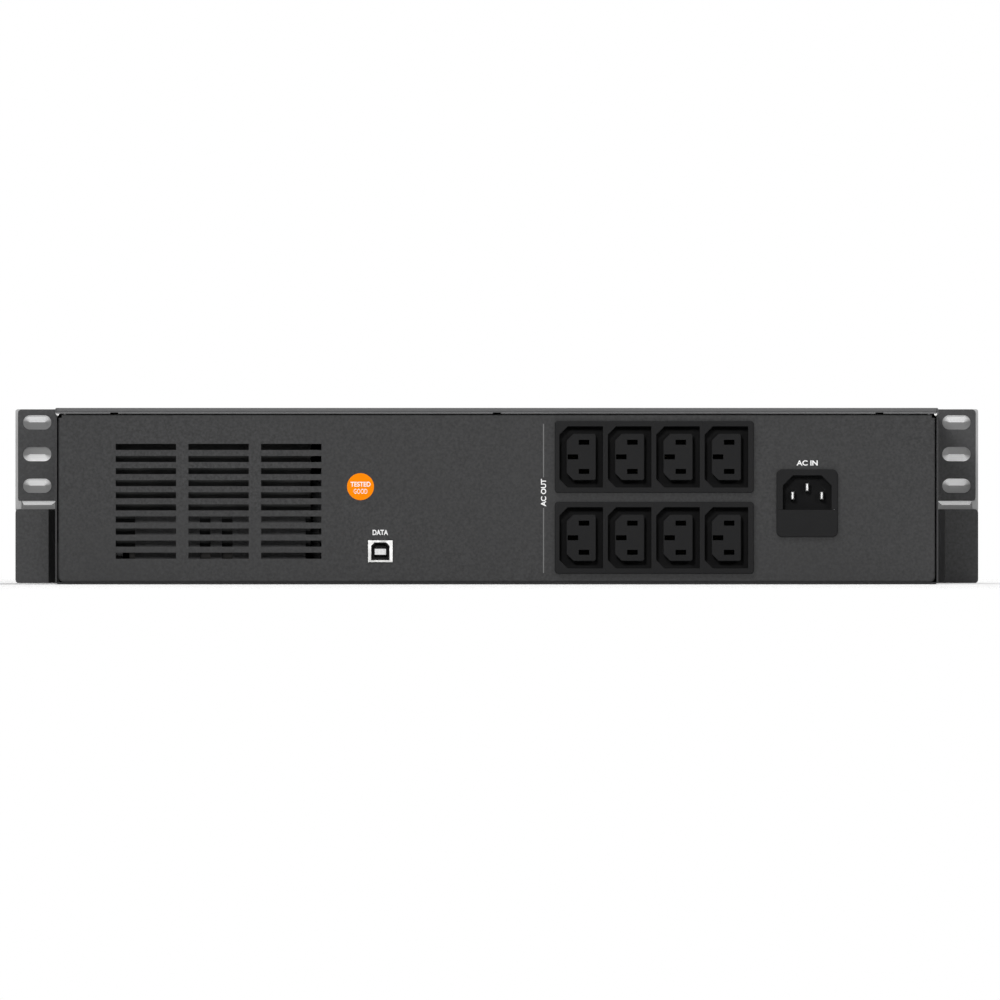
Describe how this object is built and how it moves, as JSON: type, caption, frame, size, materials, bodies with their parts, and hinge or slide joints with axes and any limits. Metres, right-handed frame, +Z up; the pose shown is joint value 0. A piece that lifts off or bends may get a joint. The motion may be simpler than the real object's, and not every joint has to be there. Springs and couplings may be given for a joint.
{
  "type": "rackmount uninterruptible power supply",
  "caption": "Two-unit rackmount uninterruptible power supply with rear outlets, mains inlet, data port, vents, rack ears, pull-off bezel and front battery drawer.",
  "frame": {"origin": "centre of the whole unit's footprint, on its bottom face", "axes": "+Z up, +Y towards the front bezel, -Y towards the rear panel, +X to the right when the rear panel is looked at"},
  "size_m": [0.4826, 0.38, 0.0871],
  "materials": {
    "chassis_paint": "fine textured powder coat",
    "ear_paint": "fine textured powder coat",
    "zinc_sheet": "bright zinc plated sheet",
    "black_screw": "black zinc plated",
    "zinc_screw": "zinc plated",
    "nickel": "bright nickel plate",
    "contact_brass": "bare brass",
    "socket_plastic": "matt moulded",
    "inlet_plastic": "matt moulded",
    "fuse_plastic": "matt moulded",
    "insulator": "natural moulded",
    "silver_plastic": "satin silver paint",
    "dark_plastic": "fine spark-eroded texture",
    "display_glass": "clear tinted",
    "display_face": "satin",
    "light_pipe": "clear green",
    "button_grey": "satin",
    "button_green": "satin",
    "board_green": "solder-mask satin",
    "black_component": "moulded epoxy",
    "capacitor_sleeve": "shrunk sleeve",
    "relay_case": "moulded",
    "terminal_green": "moulded",
    "heatsink": "extruded",
    "lamination": "varnished silicon steel",
    "winding_tape": "polyester tape",
    "bobbin": "glass-filled nylon",
    "fan_plastic": "moulded",
    "glide_nylon": "slippery nylon",
    "battery_case": "moulded",
    "lead_rubber": "soft sleeve",
    "wire_rubber": "soft sleeve",
    "plug_plastic": "moulded",
    "ribbon": "flat cable",
    "fuse_glass": "clear with bright caps",
    "print_white": "screen-printed ink",
    "sticker_orange": "printed vinyl",
    "display_mark": "dark segments of the display"
  },
  "bodies": {
    "chassis": {"base_pan": "chassis_paint", "rear_panel": "chassis_paint", "top_cover": "chassis_paint", "front_wall": "zinc_sheet", "fan_partition": "zinc_sheet", "bay_divider": "zinc_sheet", "drawer_glides": "glide_nylon", "ear_left": "ear_paint", "ear_right": "ear_paint", "ear_screws": "black_screw", "cover_screws": "black_screw", "outlet_frame_upper": "socket_plastic", "outlet_frame_lower": "socket_plastic", "outlet_sockets_upper": "socket_plastic", "outlet_sockets_lower": "socket_plastic", "outlet_contacts": "contact_brass", "inlet_housing": "inlet_plastic", "inlet_pins": "nickel", "usb_shell": "nickel", "usb_insert": "insulator", "comm_board": "board_green", "fan_frame": "fan_plastic", "transformer_core": "lamination", "transformer_bobbin": "bobbin", "transformer_winding": "winding_tape", "transformer_cradle": "ear_paint", "transformer_bolts": "zinc_screw", "main_board": "board_green", "board_standoffs": "contact_brass", "m3_screws": "zinc_screw", "heatsinks": "heatsink", "power_transistors": "black_component", "capacitors": "capacitor_sleeve", "relays": "relay_case", "terminal_blocks": "terminal_green", "internal_wiring": "wire_rubber", "display_ribbon": "ribbon", "battery_socket": "plug_plastic", "control_housing": "dark_plastic", "control_board": "board_green", "lcd_panel": "display_face", "lcd_lens": "display_glass", "light_pipes": "light_pipe"},
    "bezel": {"front_bezel": "silver_plastic", "grille_panel": "dark_plastic", "clip_block_left": "ear_paint", "clip_block_right": "ear_paint"},
    "battery_drawer": {"battery_tray": "zinc_sheet", "batteries": "battery_case", "battery_leads": "lead_rubber", "battery_plug": "plug_plastic", "drawer_fascia": "dark_plastic"},
    "captive_left": {"captive_screw_left": "nickel"},
    "captive_right": {"captive_screw_right": "nickel"},
    "power_key": {"power_button": "button_green"},
    "select_key": {"select_button": "button_grey"},
    "mute_key": {"mute_button": "button_grey"},
    "rotor": {"fan_rotor": "fan_plastic"},
    "fuse_tray": {"fuse_drawer": "fuse_plastic", "fuses": "fuse_glass"}
  },
  "joints": [
    {"name": "bezel_pull", "type": "slide", "parent": "chassis", "child": "bezel", "axis": [0, 1, 0], "range_m": [0, 0.06]},
    {"name": "drawer_slide", "type": "slide", "parent": "chassis", "child": "battery_drawer", "axis": [0, 1, 0], "range_m": [0, 0.16]},
    {"name": "captive_left_turn", "type": "hinge", "parent": "battery_drawer", "child": "captive_left", "pos_m": [-0.196, 0.17, 0.077], "axis": [0, 1, 0], "continuous": true},
    {"name": "captive_right_turn", "type": "hinge", "parent": "battery_drawer", "child": "captive_right", "pos_m": [-0.014, 0.17, 0.077], "axis": [0, 1, 0], "continuous": true},
    {"name": "power_press", "type": "slide", "parent": "chassis", "child": "power_key", "axis": [0, -1, 0], "range_m": [0, 0.0015], "stiffness_N_per_m": 400},
    {"name": "select_press", "type": "slide", "parent": "chassis", "child": "select_key", "axis": [0, -1, 0], "range_m": [0, 0.0015], "stiffness_N_per_m": 400},
    {"name": "mute_press", "type": "slide", "parent": "chassis", "child": "mute_key", "axis": [0, -1, 0], "range_m": [0, 0.0015], "stiffness_N_per_m": 400},
    {"name": "fan_spin", "type": "hinge", "parent": "chassis", "child": "rotor", "pos_m": [-0.066, -0.106, 0.043], "axis": [1, 0, 0], "continuous": true},
    {"name": "fuse_slide", "type": "slide", "parent": "chassis", "child": "fuse_tray", "axis": [0, -1, 0], "range_m": [0, 0.022]}
  ]
}
